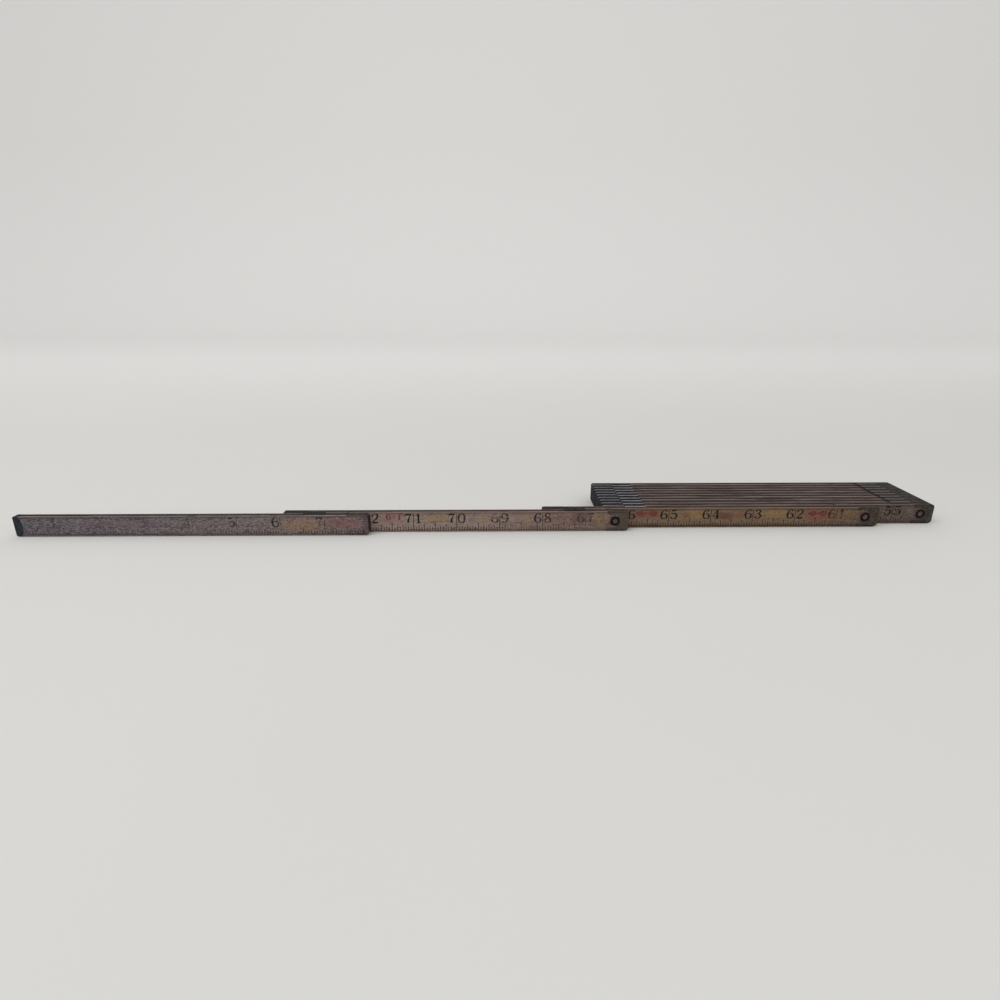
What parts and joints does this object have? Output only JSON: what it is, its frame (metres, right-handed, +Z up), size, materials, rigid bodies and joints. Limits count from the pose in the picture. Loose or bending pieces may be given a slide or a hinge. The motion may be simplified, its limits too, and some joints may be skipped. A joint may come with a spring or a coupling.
{
  "type": "sliding extension rule",
  "caption": "Long wooden rule of thin blades on edge that slide out of one stack along metal end channels, with inch scales.",
  "frame": {"origin": "middle of the rule's box, on the surface that it rests on, in the position of the picture", "axes": "+X along the blades from the drawn-out tip to the stack's right end, +Y from the front blade to the back one, +Z up"},
  "size_m": [0.545, 0.0606, 0.0129],
  "materials": {
    "worn_wood": "old varnish worn through, dark with handling, satin",
    "tarnished_metal": "plated brass, tarnished dark grey with a green tint",
    "dark_eyelet": "tarnished almost black, dull"
  },
  "bodies": {
    "stick_01": {"blade_01": "worn_wood", "tip_cap": "tarnished_metal", "tip_pin": "tarnished_metal", "blind_rivet": "dark_eyelet", "right_channel_01": "tarnished_metal"},
    "stick_02": {"blade_02": "worn_wood", "left_channel_02": "tarnished_metal", "right_channel_02": "tarnished_metal", "eyelets_02": "dark_eyelet"},
    "stick_03": {"blade_03": "worn_wood", "left_channel_03": "tarnished_metal", "right_channel_03": "tarnished_metal", "eyelets_03": "dark_eyelet"},
    "stick_04": {"blade_04": "worn_wood", "left_channel_04": "tarnished_metal", "right_channel_04": "tarnished_metal", "eyelets_04": "dark_eyelet"},
    "stick_05": {"blade_05": "worn_wood", "left_channel_05": "tarnished_metal", "right_channel_05": "tarnished_metal", "eyelets_05": "dark_eyelet"},
    "stick_06": {"blade_06": "worn_wood", "left_channel_06": "tarnished_metal", "right_channel_06": "tarnished_metal", "eyelets_06": "dark_eyelet"},
    "stick_07": {"blade_07": "worn_wood", "left_channel_07": "tarnished_metal", "right_channel_07": "tarnished_metal", "eyelets_07": "dark_eyelet"},
    "stick_08": {"blade_08": "worn_wood", "left_channel_08": "tarnished_metal", "right_channel_08": "tarnished_metal", "eyelets_08": "dark_eyelet"},
    "stick_09": {"blade_09": "worn_wood", "left_channel_09": "tarnished_metal", "right_channel_09": "tarnished_metal", "eyelets_09": "dark_eyelet"},
    "stick_10": {"blade_10": "worn_wood", "left_channel_10": "tarnished_metal", "right_channel_10": "tarnished_metal", "eyelets_10": "dark_eyelet"},
    "stick_11": {"blade_11": "worn_wood", "left_channel_11": "tarnished_metal", "right_channel_11": "tarnished_metal", "eyelets_11": "dark_eyelet"},
    "stick_12": {"blade_12": "worn_wood", "left_channel_12": "tarnished_metal", "heel_cap": "tarnished_metal", "eyelets_12": "dark_eyelet"}
  },
  "joints": [
    {"name": "slide_01_on_02", "type": "slide", "parent": "stick_02", "child": "stick_01", "axis": [-1, 0, 0], "range_m": [-0.1524, 0]},
    {"name": "slide_02_on_03", "type": "slide", "parent": "stick_03", "child": "stick_02", "axis": [-1, 0, 0], "range_m": [-0.1524, 0]},
    {"name": "slide_03_on_04", "type": "slide", "parent": "stick_04", "child": "stick_03", "axis": [-1, 0, 0], "range_m": [-0.037, 0.1154]},
    {"name": "slide_04_on_05", "type": "slide", "parent": "stick_05", "child": "stick_04", "axis": [-1, 0, 0], "range_m": [0, 0.1524]},
    {"name": "slide_05_on_06", "type": "slide", "parent": "stick_06", "child": "stick_05", "axis": [-1, 0, 0], "range_m": [0, 0.1524]},
    {"name": "slide_06_on_07", "type": "slide", "parent": "stick_07", "child": "stick_06", "axis": [-1, 0, 0], "range_m": [0, 0.1524]},
    {"name": "slide_07_on_08", "type": "slide", "parent": "stick_08", "child": "stick_07", "axis": [-1, 0, 0], "range_m": [0, 0.1524]},
    {"name": "slide_08_on_09", "type": "slide", "parent": "stick_09", "child": "stick_08", "axis": [-1, 0, 0], "range_m": [0, 0.1524]},
    {"name": "slide_09_on_10", "type": "slide", "parent": "stick_10", "child": "stick_09", "axis": [-1, 0, 0], "range_m": [0, 0.1524]},
    {"name": "slide_10_on_11", "type": "slide", "parent": "stick_11", "child": "stick_10", "axis": [-1, 0, 0], "range_m": [0, 0.1524]},
    {"name": "slide_11_on_12", "type": "slide", "parent": "stick_12", "child": "stick_11", "axis": [-1, 0, 0], "range_m": [0, 0.1524]}
  ]
}
